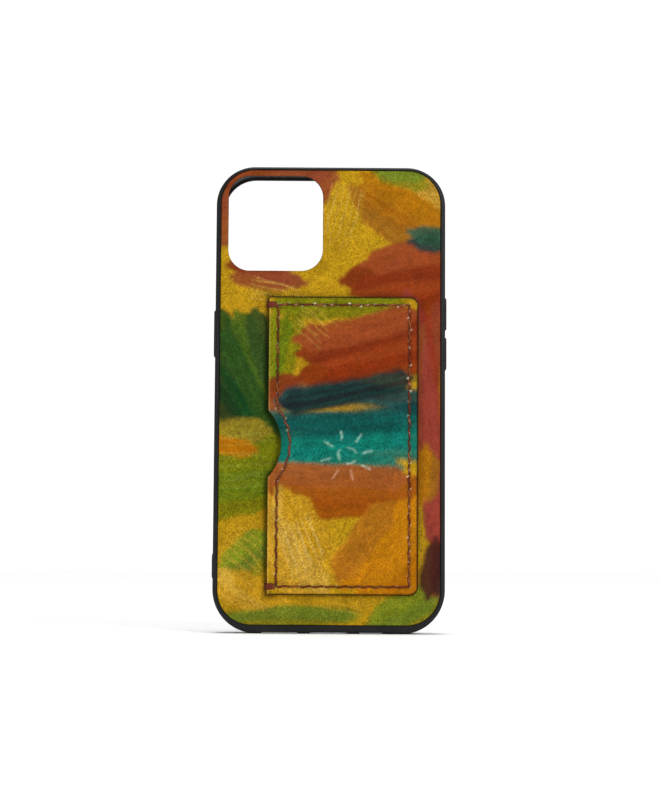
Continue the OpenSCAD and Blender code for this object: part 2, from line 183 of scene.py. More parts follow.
def rounded_box(x, z, lo, hi, radius):
    """Distance outside a rectangle with round corners, negative inside."""
    qx = np.abs(x - (lo[0] + hi[0]) / 2) - (hi[0] - lo[0]) / 2 + radius
    qz = np.abs(z - (lo[1] + hi[1]) / 2) - (hi[1] - lo[1]) / 2 + radius
    outside = np.hypot(np.maximum(qx, 0), np.maximum(qz, 0))
    return outside + np.minimum(np.maximum(qx, qz), 0) - radius


def window_distance(x, z, extra=0.0):
    """Distance outside the camera window, negative inside it."""
    half_w = WINDOW_W / 2 + extra
    half_h = WINDOW_H / 2 + extra
    return rounded_box(x, z, (WINDOW_X - half_w, WINDOW_Z - half_h),
                       (WINDOW_X + half_w, WINDOW_Z + half_h), WINDOW_CORNER + extra)


def leather_distance(x, z):
    """Distance outside the back leather's outline."""
    outer = rounded_box(x, z, LEATHER_LO[::2], LEATHER_HI[::2], LEATHER_CORNER)
    return np.maximum(outer, -window_distance(x, z))


def soft_distance(x, z):
    """Distance outside the microfibre lining's outline."""
    outer = rounded_box(x, z, SOFT_LO[::2], SOFT_HI[::2], LINING_CORNER)
    return np.maximum(outer, -window_distance(x, z, WINDOW_CLEAR))


def sewn_distance(x, z):
    """Distance outside the pocket's three sewn edges, as if it had no open edge."""
    far_left = PANEL_LO[0] - 30.0
    return rounded_box(x, z, (far_left, PANEL_LO[2]), PANEL_HI[::2], POCKET_CORNER)


def pocket_distance(x, z):
    """Distance outside the pocket's outline, with the thumb notch cut out."""
    body = np.maximum(sewn_distance(x, z), PANEL_LO[0] - x)
    return np.maximum(body, NOTCH_R - np.hypot(x - NOTCH_X, z - NOTCH_Z))


def path_distance(x, z, points):
    """Distance to an open path, and how far along the path the nearest point lies, 0 to 1."""
    best = np.full(np.shape(x), FAR)
    along = np.zeros(np.shape(x))
    count = len(points) - 1
    for i in range(count):
        ax, az = points[i]
        dx = points[i + 1][0] - ax
        dz = points[i + 1][1] - az
        t = np.clip(((x - ax) * dx + (z - az) * dz) / (dx * dx + dz * dz + 1e-12), 0, 1)
        d = np.hypot(x - ax - t * dx, z - az - t * dz)
        nearer = d < best
        best = np.where(nearer, d, best)
        along = np.where(nearer, (i + t) / count, along)
    return best, along


def hole_distance(x, z, holes):
    """Distance to the nearest needle hole."""
    best = np.full(np.shape(x), FAR)
    for hx, hz in holes:
        best = np.minimum(best, np.hypot(x - hx, z - hz))
    return best


def smooth_curve(points, samples=6):
    """A curve through the points, as a list of short steps."""
    p = [np.array(q, float) for q in points]
    out = []
    for i in range(len(p) - 1):
        p1 = p[i]
        p2 = p[i + 1]
        p0 = p[max(i - 1, 0)]
        p3 = p[min(i + 2, len(p) - 1)]
        for k in range(samples):
            t = k / samples
            out.append(0.5 * (2 * p1 + (p2 - p0) * t + (2 * p0 - 5 * p1 + 4 * p2 - p3) * t * t
                              + (3 * p1 - p0 - 3 * p2 + p3) * t ** 3))
    out.append(p[-1])
    return out


# ---- Paint: an abstract pattern of soft brush strokes, worked out point by point ----

# How much the whole print is darkened, 1 for not at all
PRINT_DEPTH = 0.72
# How far the paint's edges wander and tremble, and over what lengths
WANDER = 0.45
WANDER_SIZE = 4.5
TREMBLE = 0.16
TREMBLE_SIZE = 1.1
# Bristle marks: how much longer than wide they are, and how wide
FINE_BRISTLES = (7.0, 0.55)
BROAD_BRISTLES = (4.0, 1.4)
BROAD_LAYER = 5
# How thin a stroke's ends are, as a share of its width
THIN_END = 0.3
# Uneven dye: strength, size and lattice layer of its clouds
MOTTLE = ((0.06, 5.0, 8), (0.05, 1.6, 9), (0.06, 0.7, 10))
WARMTH = (0.05, 3.1, 4)


class Painting:
    """Colours laid over each other at the points x, z of a leather blank."""

    def __init__(self, x, z, ground, layer):
        def bent(value, first):
            return (value + WANDER * noise(x, z, WANDER_SIZE, first)
                    + TREMBLE * noise(x, z, TREMBLE_SIZE, first + 1))

        self.x = bent(x, layer)
        self.z = bent(z, layer + 2)
        self.layer = layer
        self.colour = np.tile(linear(ground), (len(x), 1))

    def lay(self, where, cover, colour, streak, angle):
        """Blends a colour in at the points where, with bristle marks along the angle."""
        turn = math.radians(angle)
        x = self.x[where]
        z = self.z[where]
        along = x * math.cos(turn) + z * math.sin(turn)
        across = z * math.cos(turn) - x * math.sin(turn)
        marks = (noise(along / FINE_BRISTLES[0], across, FINE_BRISTLES[1], self.layer)
                 + noise(along / BROAD_BRISTLES[0], across, BROAD_BRISTLES[1], BROAD_LAYER))
        target = linear(colour)[None, :] * (1 + streak * marks)[:, None]
        self.colour[where] += (target - self.colour[where]) * cover[:, None]

    def near(self, points, margin):
        """The points of the blank that are within margin of a curve's box."""
        p = np.array(points)
        lo = p.min(0) - margin
        hi = p.max(0) + margin
        inside = (self.x > lo[0]) & (self.x < hi[0]) & (self.z > lo[1]) & (self.z < hi[1])
        return np.nonzero(inside)[0]

    def stroke(self, colour, path, width, soft=0.35, cover=1.0, streak=0.08, taper=0.15):
        """A brush stroke along a smooth path that thins out at both ends."""
        curve = smooth_curve(path)
        where = self.near(curve, width + soft)
        if len(where) == 0:
            return
        away, along = path_distance(self.x[where], self.z[where], curve)
        ends = ease(0, taper, along) * ease(0, taper, 1 - along)
        half = width / 2 * (THIN_END + (1 - THIN_END) * ends)
        run = np.array(path[-1]) - np.array(path[0])
        angle = math.degrees(math.atan2(run[1], run[0]))
        fade = cover * (1 - ease(-soft, soft, away - half))
        self.lay(where, fade, colour, streak, angle)

    def mottle(self, x, z):
        """Uneven dye: cloudy and speckled changes of tone over the whole blank."""
        tone = 1
        for strength, size, layer in MOTTLE:
            tone = tone + strength * noise(x, z, size, layer)
        self.colour *= PRINT_DEPTH * tone[:, None]
        self.colour[:, 2] *= 1 + WARMTH[0] * noise(x, z, *WARMTH[1:])
        return np.clip(self.colour, 0.0, 1.0)


def brushed_lines(art, colour, start, run, breadth, count, width, cover):
    """Thin bristle lines side by side, of three lengths and slightly bent."""
    run = np.array(run)
    across = np.array([-run[1], run[0]])
    for i in range(count):
        shift = breadth * (i / (count - 1) - 0.5)
        a = np.array(start) + across / math.hypot(*run) * shift
        b = a + run * (0.5 + 0.1 * math.sin(1.7 * i)) + across * 0.05 * math.sin(2.1 * i)
        c = a + run * (1 - 0.12 * (i % 3))
        art.stroke(colour, [a, b, c], width, soft=0.25, cover=cover)


# A wash: its strokes overlap, and differ in place, length and bend by these shares
OVERLAP = 2.1
SLIP_SHARE = 0.1
REACH_SHARE = 0.14
BEND_SHARE = 0.05
CORNER_LOSS = 1.3
WASH_COVER = 0.94
# Faint streaks in a wash: where they lie across a stroke, and how strong they are
STREAK_PLACES = (-0.3, 0.1, 0.34)
STREAK_COVER = 0.16
STREAK_SOFT = 0.7
WASH_LAYER = 11


def wash(art, tints, centre, length, breadth, angle, rows, soft=1.1):
    """Fills a region with broad brush strokes side by side, ragged at their ends.

    The tints run across the region, from below the strokes' direction to above it.
    """
    turn = math.radians(angle)
    along = np.array([math.cos(turn), math.sin(turn)])
    across = np.array([-along[1], along[0]])
    pick = int(10 * abs(centre[0]) + abs(centre[1])) % LATTICE_SIZE
    width = OVERLAP * breadth / rows
    round_end = min(0.4, 0.8 * width / length)
    for k in range(rows):
        side = (k + 0.5) / rows - 0.5
        slip, reach, bow, lean = LATTICE[WASH_LAYER, pick, 4 * k:4 * k + 4]
        middle = np.array(centre) + side * breadth * across + SLIP_SHARE * length * slip * along
        half = length / 2 * (1 + REACH_SHARE * reach) * (1 - CORNER_LOSS * side ** 2)
        bend = BEND_SHARE * length * bow * across
        tilt = BEND_SHARE * length * lean * across
        path = [middle - half * along - tilt, middle + bend, middle + half * along + tilt]
        tint = tints[k * len(tints) // rows]
        art.stroke(tint, path, width, soft=soft, cover=WASH_COVER, taper=round_end)
        other = tints[(k + 1) % len(tints)]
        for shift in STREAK_PLACES:
            line = [point + shift * width * across for point in path]
            art.stroke(other, line, 0.12 * width + 0.3, soft=STREAK_SOFT, cover=STREAK_COVER)


GOLD = "#b58c15"
TERRACOTTA = ("#a2552a", "#9c4c2e", "#8c3b19", "#9a4a26")
OCHRE = ("#a0681b", "#aa6709", "#b2730b", "#b38a30")
BRICK = ("#963f26", "#9c331f", "#a54537", "#a0522c")
RUST = ("#93350f", "#a24118", "#8d3414", "#a84f26")
OLIVE = ("#7a750b", "#60720f", "#75780d", "#8c7a20")
MOSS = ("#877b15", "#6a7a22", "#7b881d")
DARK_GREEN = ("#1d3a1d", "#12451f", "#2c501c", "#4a6219", "#354e20")
TEAL = ("#126f5f", "#117464", "#0c7868", "#0b675c", "#0a544e", "#0f3e42", "#1f282b")
DEEP_TEAL = ("#1f3b3c", "#31573f")
BROWN = ("#a9540a", "#ae5d14", "#b0602a")
ORANGE = ("#bf7407", "#c67f0b", "#cd830c", "#b8741a")
PALE_GOLD = ("#c29326", "#c69c38", "#be8f18")
PLUM = ("#3f3228", "#50241f")

# Each region: tints, centre, length, breadth, angle, rows, and its softness if it has one
BACK_REGIONS = (
    (TERRACOTTA, (-22, 146), 58, 22, 18, 5),
    (TERRACOTTA, (-22, 116), 22, 7, -8, 3),
    (OCHRE, (26, 137), 36, 21, -36, 6),
    (MOSS, (24, 149), 20, 6, -12, 2),
    (RUST, (25, 113), 40, 21, 12, 5),
    (BRICK, (32.6, 66), 96, 15, 91, 5),
    (OCHRE, (31.5, 50), 18, 5, 84, 2),
    (DEEP_TEAL, (32, 128), 15, 6, -10, 2),
    (DARK_GREEN, (-28, 83), 46, 25, -62, 7),
    (OLIVE, (-29, 52), 32, 27, 6, 7),
    (ORANGE, (-31, 60), 16, 3, -6, 1),
    (MOSS, (-25, 25), 22, 9, 42, 3),
    (PALE_GOLD, (-24, 12), 26, 8, -28, 3),
    (MOSS, (-12, 4), 40, 4, 3, 2),
    (MOSS, (26, 8), 24, 9, 24, 3),
    (PLUM, (34.5, 20), 18, 6, 80, 2),
)
POCKET_REGIONS = (
    (OLIVE, (2, 106), 42, 5, 3, 2),
    (OLIVE, (-17, 90), 26, 9, 78, 3),
    (RUST, (13, 92), 46, 20, 16, 5),
    (TERRACOTTA, (-16, 78), 18, 6, 20, 2),
    (TEAL, (6, 65), 58, 29, 6, 8, 1.4),
    (BROWN, (4, 45), 62, 14, -3, 4),
    (PALE_GOLD, (-10, 27), 34, 18, -62, 4),
    (ORANGE, (19, 25), 40, 22, 54, 5),
)


# Each set of bristle lines: colour, start, run, breadth, count, width, cover
BACK_LINES = (
    ("#d4b05a", (6, 146), (-6, -22), 11.0, 9, 0.4, 0.26),
    ("#a27c14", (8, 148), (-4, -24), 9.0, 6, 0.6, 0.3),
    ("#8e9a3c", (-37, 54), (20, 2), 16.0, 8, 0.5, 0.3),
    ("#d0ac52", (-26, 112), (18, -4), 7.0, 6, 0.45, 0.4),
    ("#cca23e", (-34, 30), (14, -11), 12.0, 8, 0.45, 0.35),
    ("#c79c35", (-2, 11), (15, -3), 5.0, 5, 0.5, 0.3),
)
POCKET_LINES = (
    ("#c8a044", (-10, 103), (10, -8), 9.0, 7, 0.5, 0.35),
    ("#d8b868", (-12, 36), (7, -17), 12.0, 9, 0.45, 0.45),
)


def painted(x, z, regions, lines, layer):
    """A leather blank with its washes and bristle lines."""
    art = Painting(x, z, GOLD, layer)
    for region in regions:
        wash(art, *region)
    for line in lines:
        brushed_lines(art, *line)
    return art


# Painted shade on the back beside the pocket, deepest at the pocket's open edge
SHADE_REACH = 2.5
SHADE_ALL_ROUND = 0.14
SHADE_AT_MOUTH = 0.48


def paint_back(x, z):
    """The whole print on the back leather, with painted shade beside the pocket."""
    art = painted(x, z, BACK_REGIONS, BACK_LINES, 0)
    # Painted shade: the back is darkened beside the pocket, most at its open edge
    dark = 1 - ease(0.0, SHADE_REACH, pocket_distance(x, z))
    open_side = 1 - ease(PANEL_LO[0] - 0.2, PANEL_LO[0] + 5.0, x)
    art.colour *= (1 - (SHADE_ALL_ROUND + SHADE_AT_MOUTH * open_side) * dark)[:, None]
    return art.mottle(x, z)


STAMP_CENTRE = (5.6, 57.0)
STAMP_RING_R = 2.9
STAMP_RAY_FROM = 5.2
STAMP_RAY_TO = 8.6
STAMP_RAYS = 8
STAMP_GAPS = 3
STAMP_LINE = 0.6
STAMP_COVER = 0.6
# Rays that end below this height lie on the brown wash and rub to a warmer tint
STAMP_WARM_BELOW = 50.5
STAMP_TINT = "#9ccbb9"
STAMP_WARM_TINT = "#d8a37f"


def on_stamp(radius, degrees):
    """A point of the stamp at a radius and an angle."""
    turn = math.radians(degrees)
    return (STAMP_CENTRE[0] + radius * math.cos(turn), STAMP_CENTRE[1] + radius * math.sin(turn))


def stamp_motif(art):
    """A plain worn stamp: a small broken ring and eight short rays, pale from rubbing."""
    for i in range(STAMP_RAYS):
        angle = 360 / STAMP_RAYS * i + 12
        ray = [on_stamp(STAMP_RAY_FROM, angle), on_stamp(STAMP_RAY_TO, angle)]
        tint = STAMP_WARM_TINT if ray[1][1] < STAMP_WARM_BELOW else STAMP_TINT
        art.stroke(tint, ray, STAMP_LINE, soft=0.3, cover=STAMP_COVER)
    for i in range(STAMP_GAPS):
        ring = [on_stamp(STAMP_RING_R, 360 / STAMP_GAPS * i + 20 + 14 * k) for k in range(6)]
        art.stroke(STAMP_TINT, ring, STAMP_LINE, soft=0.3, cover=STAMP_COVER)


# Painted highlights beside the needle holes: their size, their offset from the hole and their
# strength
GLINT_RADIUS = 0.28
GLINT_OFF = 0.45
GLINT_STRONG = 0.95
GLINT_FAINT = 0.35


def painted_glint_cover(x, z):
    """Painted highlights: pale glints beside the needle holes.

    They are strong along the top and right seams and round the thumb notch, and faint
    along the bottom seam and the straight parts of the open edge.
    """
    cover = np.zeros(len(x))
    for i, (hx, hz) in enumerate(SEAM_HOLES + MOUTH_HOLES):
        bright = 0.5 + 0.5 * LATTICE[6, i % LATTICE_SIZE, 5]
        on_side = i >= len(SEAM_HOLES) and hx < SEAM_X0 + 0.1
        bright *= GLINT_FAINT if on_side or hz < SEAM_Z0 + 0.1 else GLINT_STRONG
        away = np.hypot(x - hx - GLINT_OFF * math.cos(2.4 * i),
                        z - hz - GLINT_OFF * math.sin(2.4 * i))
        cover = np.maximum(cover, bright * np.exp(-(away / GLINT_RADIUS) ** 2))
    return cover


def sewn_rows(x, z):
    """Distance to the nearest row of stitches."""
    seam, _ = path_distance(x, z, SEAM_HOLES)
    mouth, _ = path_distance(x, z, MOUTH_HOLES)
    return np.minimum(seam, mouth)


def tinted(colour, tint, cover):
    """The colours with a tint laid over them."""
    return colour + (linear(tint) - colour) * cover[:, None]


# How far in the dark edge paint, which is partly painted shade under the edge, and the painted
# shade of the stitched groove fade, from and to
EDGE_PAINT_AND_SHADE = (0.3, 0.75)
GROOVE_SHADE = (0.15, 0.55)
# Radius of the painted shade in the needle holes
HOLE_SHADE_R = 0.33
# A painted highlight: a pale line along the open edge
EDGE_HIGHLIGHT_AT = 0.25
EDGE_HIGHLIGHT_WIDTH = 0.22


def paint_pocket(x, z):
    """The whole print on the pocket's leather, with dark edge paint that is partly painted shade,
    painted shade at the stitches and painted highlights.
    """
    art = painted(x, z, POCKET_REGIONS, POCKET_LINES, 3)
    stamp_motif(art)
    colour = art.mottle(x, z)
    edge = 1 - ease(*EDGE_PAINT_AND_SHADE, -sewn_distance(x, z))
    groove = 1 - ease(*GROOVE_SHADE, sewn_rows(x, z))
    holes = np.exp(-(hole_distance(x, z, SEAM_HOLES + MOUTH_HOLES) / HOLE_SHADE_R) ** 2)
    edge_highlight = np.exp(-((x - PANEL_LO[0] - EDGE_HIGHLIGHT_AT) / EDGE_HIGHLIGHT_WIDTH) ** 2)
    # Dark edge paint, also standing as painted shade under the sewn edges
    colour = tinted(colour, "#1f0f09", 0.95 * edge)
    # Painted shade along the stitched grooves
    colour = tinted(colour, "#4a2a18", 0.5 * groove)
    # Painted shade in the needle holes
    colour = tinted(colour, "#2a160e", 0.8 * holes)
    # Painted highlights beside the needle holes
    colour = tinted(colour, "#ead9bd", painted_glint_cover(x, z))
    # Painted highlight along the open edge
    colour = tinted(colour, "#d6b868", 0.15 * edge_highlight)
    return np.clip(colour, 0, 1)


# ---- Meshes ----

SLOPE_STEP = 0.01
ON_OUTLINE = 1e-5
SNAP_ROUNDS = 4


def slope_of(distance, x, z):
    """The outward direction of a distance field."""
    h = SLOPE_STEP
    gx = (distance(x + h, z) - distance(x - h, z)) / (2 * h)
    gz = (distance(x, z + h) - distance(x, z - h)) / (2 * h)
    size = np.maximum(np.hypot(gx, gz), 1e-6)
    return gx / size, gz / size


def outline_grid(distance, lo, hi, cell):
    """A grid over the region where distance is negative, with its rim on the outline.

    Returns x, z and the faces, which wind so that they face -Y.
    """
    nx = int(math.ceil((hi[0] - lo[0]) / cell)) + 2
    nz = int(math.ceil((hi[1] - lo[1]) / cell)) + 2
    xs = (lo[0] + hi[0]) / 2 + (np.arange(nx + 1) - nx / 2) * cell
    zs = (lo[1] + hi[1]) / 2 + (np.arange(nz + 1) - nz / 2) * cell
    x, z = np.meshgrid(xs, zs, indexing="ij")
    d = distance(x, z)
    d[np.abs(d) < ON_OUTLINE] = -ON_OUTLINE
    snap = np.zeros(d.shape, bool)
    for field, near in ((d, snap), (d.T, snap.T)):
        crosses = (field[:-1] < 0) != (field[1:] < 0)
        first = np.abs(field[:-1]) <= np.abs(field[1:])
        near[:-1] |= crosses & first
        near[1:] |= crosses & ~first
    for _ in range(SNAP_ROUNDS):
        sx, sz = slope_of(distance, x[snap], z[snap])
        off = distance(x[snap], z[snap])
        x[snap] -= sx * off
        z[snap] -= sz * off
    state = np.where(snap, 0, np.where(d < 0, -1, 1))
    number = np.arange(x.size).reshape(x.shape)
    corner = [number[:-1, :-1], number[1:, :-1], number[1:, 1:], number[:-1, 1:]]
    kinds = [state[:-1, :-1], state[1:, :-1], state[1:, 1:], state[:-1, 1:]]
    outside = sum((k > 0).astype(int) for k in kinds)
    middle_x = sum(x.ravel()[c] for c in corner) / 4
    middle_z = sum(z.ravel()[c] for c in corner) / 4
    full = (outside == 0) & (distance(middle_x, middle_z) < 0)
    faces = [tuple(f) for f in np.stack([c[full] for c in corner], 1)]
    for k in range(4):
        keep = [i for i in range(4) if i != k]
        part = (outside == 1) & (kinds[k] > 0)
        tri = np.stack([corner[i][part] for i in keep], 1)
        cx = x.ravel()[tri].mean(1)
        cz = z.ravel()[tri].mean(1)
        faces += [tuple(t) for t in tri[distance(cx, cz) < 1e-4]]
    used = np.unique(np.concatenate([np.ravel(f) for f in faces]))
    rename = np.full(x.size, -1)
    rename[used] = np.arange(len(used))
    faces = [tuple(int(rename[v]) for v in f) for f in faces]
    return x.ravel()[used], z.ravel()[used], faces


def rim_loops(faces):
    """The closed loops of edges that only one face uses, each as a list of points."""
    follow = {}
    edges = set()
    for face in faces:
        for a, b in zip(face, face[1:] + face[:1]):
            edges.add((a, b))
    for a, b in edges:
        if (b, a) not in edges:
            follow[a] = b
    loops = []
    while follow:
        start, point = follow.popitem()
        loop = [start]
        while point != start:
            loop.append(point)
            point = follow.pop(point)
        loops.append(loop)
    return loops


def new_piece(name, points, faces, colours=None):
    """A smooth-shaded mesh object from points in millimetres."""
    mesh = bpy.data.meshes.new(name)
    mesh.from_pydata([tuple(p) for p in np.array(points) * MM], [], faces)
    mesh.polygons.foreach_set("use_smooth", [True] * len(mesh.polygons))
    if colours is not None:
        layer = mesh.color_attributes.new("print", "FLOAT_COLOR", "POINT")
        rgba = np.ones((len(points), 4), np.float32)
        rgba[:, :3] = colours
        layer.data.foreach_set("color", rgba.ravel())
    mesh.update()
    piece = bpy.data.objects.new(name, mesh)
    bpy.context.scene.collection.objects.link(piece)
    return piece


def band(one, other):
    """Faces between two rings of the same number of points."""
    count = len(one)
    pairs = [(i, (i + 1) % count) for i in range(count)]
    return [tuple(int(v) for v in (one[j], one[i], other[i], other[j])) for i, j in pairs]


# A quarter of a rounded edge: how far out and how far down, in edge radii
EDGE_PROFILE = ((0.5, 0.13), (0.87, 0.5), (1.0, 1.0))


def sheet_piece(name, distance, lo, hi, cell, outer_y, thickness, edge_r, paint=None,
                edge_colour="#2a1a12", two_sided=True):
    """A flat or shaped sheet with rounded edges.

    outer_y gives the y of the face towards -Y at each x, z. With two_sided the other face
    repeats its shape one thickness behind; without it the other face is flat.
    """
    def inset(x, z):
        return distance(x, z) + edge_r

    x, z, faces = outline_grid(inset, lo, hi, cell)
    y = outer_y(x, z)
    points = [np.stack([x, y, z], 1)]
    colours = [paint(x, z)] if paint else None
    count = len(x)
    loops = rim_loops(faces)
    rings = [(edge_r * out, edge_r * down) for out, down in EDGE_PROFILE]
    if two_sided:
        rings += [(edge_r * out, thickness - edge_r * down) for out, down in EDGE_PROFILE[::-1]]
    else:
        rings.append((edge_r, thickness))
    walls = []
    back_ring = []
    for loop in loops:
        loop = np.array(loop)
        sx, sz = slope_of(distance, x[loop], z[loop])
        before = loop
        for out, down in rings:
            ring = count + np.arange(len(loop))
            points.append(np.stack([x[loop] + sx * out, y[loop] + down, z[loop] + sz * out], 1))
            if paint:
                edge = np.tile(linear(edge_colour), (len(loop), 1))
                top = 1 - ease(0.0, 0.8, down / max(edge_r, 1e-6))
                colours.append(edge + (colours[0][loop] - edge) * top)
            count += len(loop)
            walls += band(before, ring)
            before = ring
        back_ring.append((loop, before))
    if two_sided:
        start = count
        points.append(np.stack([x, y + thickness, z], 1))
        if paint:
            colours.append(np.tile(linear(edge_colour), (len(x), 1)))
        back = [tuple(start + v for v in face[::-1]) for face in faces]
        for loop, ring in back_ring:
            walls += band(ring, start + loop)
        faces = faces + back
    piece = new_piece(name, np.concatenate(points), faces + walls,
                      np.concatenate(colours) if paint else None)
    if not two_sided:
        close_back(piece)
    return piece


def close_back(piece):
    """Fills the open flat back of a sheet."""
    bm = bmesh.new()
    bm.from_mesh(piece.data)
    rim = [e for e in bm.edges if e.is_boundary]
    made = bmesh.ops.triangle_fill(bm, edges=rim, normal=(0, 1, 0))
    for item in made["geom"]:
        if isinstance(item, bmesh.types.BMFace):
            item.smooth = False
    bmesh.ops.recalc_face_normals(bm, faces=bm.faces)
    bm.to_mesh(piece.data)
    bm.free()


def make_back_leather():
    """The printed leather skin on the back."""
    def outer(x, z):
        near_pocket = 1 - ease(-0.6, 1.2, pocket_distance(x, z))
        return LEATHER_BACK + 0.03 * noise(x, z, 7.0, 2) * (1 - near_pocket)

    return sheet_piece("painted_back_leather", leather_distance, LEATHER_LO[::2],
                       LEATHER_HI[::2], cell=0.4, outer_y=outer, thickness=LEATHER_THICK,
                       edge_r=0.3, paint=paint_back, two_sided=False)


# How far in from the sewn edges the pocket starts to rise, and where it is level again
PANEL_SLOPE = (3.2, 6.2)
LINING_SLOPE = (4.3, 6.4)


def panel_rise(x, z):
    """0 where the pocket's leather is sewn flat and 1 where it is raised for the cards."""
    return ease(*PANEL_SLOPE, -sewn_distance(x, z))


def panel_face(x, z):
    """The y of the pocket's face without its grooves and waves."""
    return FLANGE_Y + (CROWN_Y - FLANGE_Y) * panel_rise(x, z)


GROOVE_DEPTH = 0.17
GROOVE_WIDTH = 0.42
HOLE_DIP = 0.1
HOLE_WIDTH = 0.4
# The leather swells beside the groove
SWELL = 0.05
SWELL_OFF = 1.0
SWELL_WIDTH = 0.45
WAVE = 0.05
RIPPLE = 0.02


def panel_height(x, z):
    """The y of the pocket's face: sewn flat at its edge, raised in the middle."""
    line = sewn_rows(x, z)
    holes = hole_distance(x, z, SEAM_HOLES + MOUTH_HOLES)
    y = (panel_face(x, z) + GROOVE_DEPTH * np.exp(-(line / GROOVE_WIDTH) ** 2)
         + HOLE_DIP * np.exp(-(holes / HOLE_WIDTH) ** 2))
    y = y - SWELL * np.exp(-((line - SWELL_OFF) / SWELL_WIDTH) ** 2)
    return y + WAVE * noise(x, z, 9.0, 1) * panel_rise(x, z) + RIPPLE * noise(x, z, 2.5, 7)


def make_pocket_panel():
    """The pocket's outer leather."""
    return sheet_piece("painted_pocket_panel", pocket_distance, PANEL_LO[::2], PANEL_HI[::2],
                       cell=0.4, outer_y=panel_height, thickness=PANEL_THICK, edge_r=0.22,
                       paint=paint_pocket, edge_colour="#3b2012")


LINING_ROOM = 0.25
LINING_THICK = 0.22
LINING_INSET = 0.15
SKIN_GAP = 0.01


def make_pocket_lining():
    """The thin cloth behind the pocket's leather."""
    def outline(x, z):
        return pocket_distance(x, z) + LINING_INSET

    def outer(x, z):
        raised = ease(*LINING_SLOPE, -sewn_distance(x, z))
        return LEATHER_BACK - LINING_ROOM - CARD_GAP * raised + SKIN_GAP

    return sheet_piece("pocket_lining_cloth", outline, LINING_LO[::2], LINING_HI[::2],
                       cell=0.8, outer_y=outer, thickness=LINING_THICK, edge_r=0.08)


NAP_ROOM = 0.02
NAP_WAVE = 0.012


def make_microfibre():
    """The soft lining that the phone rests on."""
    def outer(x, z):
        return SOFT_LO[1] + NAP_ROOM + NAP_WAVE * noise(x, z, 2.3, 5)

    return sheet_piece("microfibre_sheet", soft_distance, SOFT_LO[::2], SOFT_HI[::2],
                       cell=0.9, outer_y=outer, thickness=SOFT_HI[1] - SOFT_LO[1] - NAP_ROOM,
                       edge_r=0.12)


STRAND_SIDES = 12
PLIES = 3
PLY_RELIEF = 0.16
# A strand's end rings are this share thinner than the rest
END_TAPER = 0.35


def strand(path, radius, twist, phase=0.0):
    """Points and faces of a twisted strand along a path of 3-D points in millimetres."""
    sides = STRAND_SIDES
    p = np.array(path)
    tangent = np.gradient(p, axis=0)
    tangent /= np.linalg.norm(tangent, axis=1)[:, None]
    length = np.concatenate([[0], np.cumsum(np.linalg.norm(np.diff(p, axis=0), axis=1))])
    side = np.cross(tangent, [0.0, 1.0, 0.0])
    weak = np.linalg.norm(side, axis=1) < 1e-3
    side[weak] = [1.0, 0.0, 0.0]
    side /= np.linalg.norm(side, axis=1)[:, None]
    up = np.cross(side, tangent)
    angle = np.linspace(0, 2 * math.pi, sides, endpoint=False)
    points = []
    for i in range(len(p)):
        ends = min(i, len(p) - 1 - i, 1) * END_TAPER + 1 - END_TAPER
        r = radius * ends * (1 + PLY_RELIEF * np.cos(PLIES * (angle - twist * length[i]) + phase))
        points.append(p[i] + np.outer(r * np.cos(angle), side[i])
                      + np.outer(r * np.sin(angle), up[i]))
    points = np.concatenate(points)
    faces = []
    for i in range(len(p) - 1):
        for k in range(sides):
            m = (k + 1) % sides
            faces.append((i * sides + k, i * sides + m, (i + 1) * sides + m, (i + 1) * sides + k))
    faces.append(tuple(range(sides))[::-1])
    faces.append(tuple((len(p) - 1) * sides + k for k in range(sides)))
    return points, faces


# Painted shade at each strand's two ends, where it goes into the leather: its tint and how far it
# reaches
THREAD_END_SHADE = "#2c120c"
THREAD_END_SHADE_SHARE = 0.22
# A painted highlight near each stitch's middle: its tint and width
THREAD_HIGHLIGHT_TINT = "#d8b49c"
THREAD_HIGHLIGHT_SHARE = 0.09


class Bundle:
    """Many strands joined into one piece."""

    def __init__(self):
        self.points = []
        self.faces = []
        self.colours = []
        self.count = 0

    def add(self, points, faces, colour, shine=0.0):
        """Adds a strand with painted shade towards its two ends, where it goes into the leather.

        shine is the strength of a painted highlight near its middle.
        """
        self.points.append(points)
        self.faces += [tuple(v + self.count for v in f) for f in faces]
        along = np.repeat(np.linspace(0, 1, len(points) // STRAND_SIDES), STRAND_SIDES)
        # Painted shade towards the strand's two ends
        middle = ease(0.0, THREAD_END_SHADE_SHARE, along) * ease(0.0, THREAD_END_SHADE_SHARE, 1 - along)
        # Painted highlight near the strand's middle
        painted_highlight = shine * np.exp(-((along - 0.5) / THREAD_HIGHLIGHT_SHARE) ** 2)
        tint = tinted(linear(THREAD_END_SHADE), colour, middle)
        self.colours.append(tinted(tint, THREAD_HIGHLIGHT_TINT, painted_highlight))
        self.count += len(points)

    def piece(self, name):
        """The strands as one mesh object."""
        return new_piece(name, np.concatenate(self.points), self.faces,
                         np.concatenate(self.colours))


STITCH_STEPS = 13
STITCH_DIVE = 0.5
STITCH_ARCH = 0.05
STITCH_TWIST = 2.6
SLANT = 0.2
SLANT_CHANGE = 0.06


def laid_stitch(a, b, face, outward, slant):
    """The path of one stitch from hole a to hole b, arched over the face.

    face gives the y of the thread's middle at x, z. outward is -1 for stitches on the
    leather's face and 1 for those behind it.
    """
    a = np.array(a)
    b = np.array(b)
    run = (b - a) / np.linalg.norm(b - a)
    across = np.array([-run[1], run[0]])
    path = []
    for i in range(STITCH_STEPS):
        t = i / (STITCH_STEPS - 1)
        arch = math.sin(math.pi * t)
        flat = a + (b - a) * (0.05 + 0.9 * t) + across * slant * math.sin(2 * math.pi * (t - 0.5))
        sunk = STITCH_DIVE * (1 - ease(0.0, 1.0, 2.4 * arch))
        path.append((flat[0], face(*flat) - outward * sunk + outward * STITCH_ARCH * arch, flat[1]))
    return path


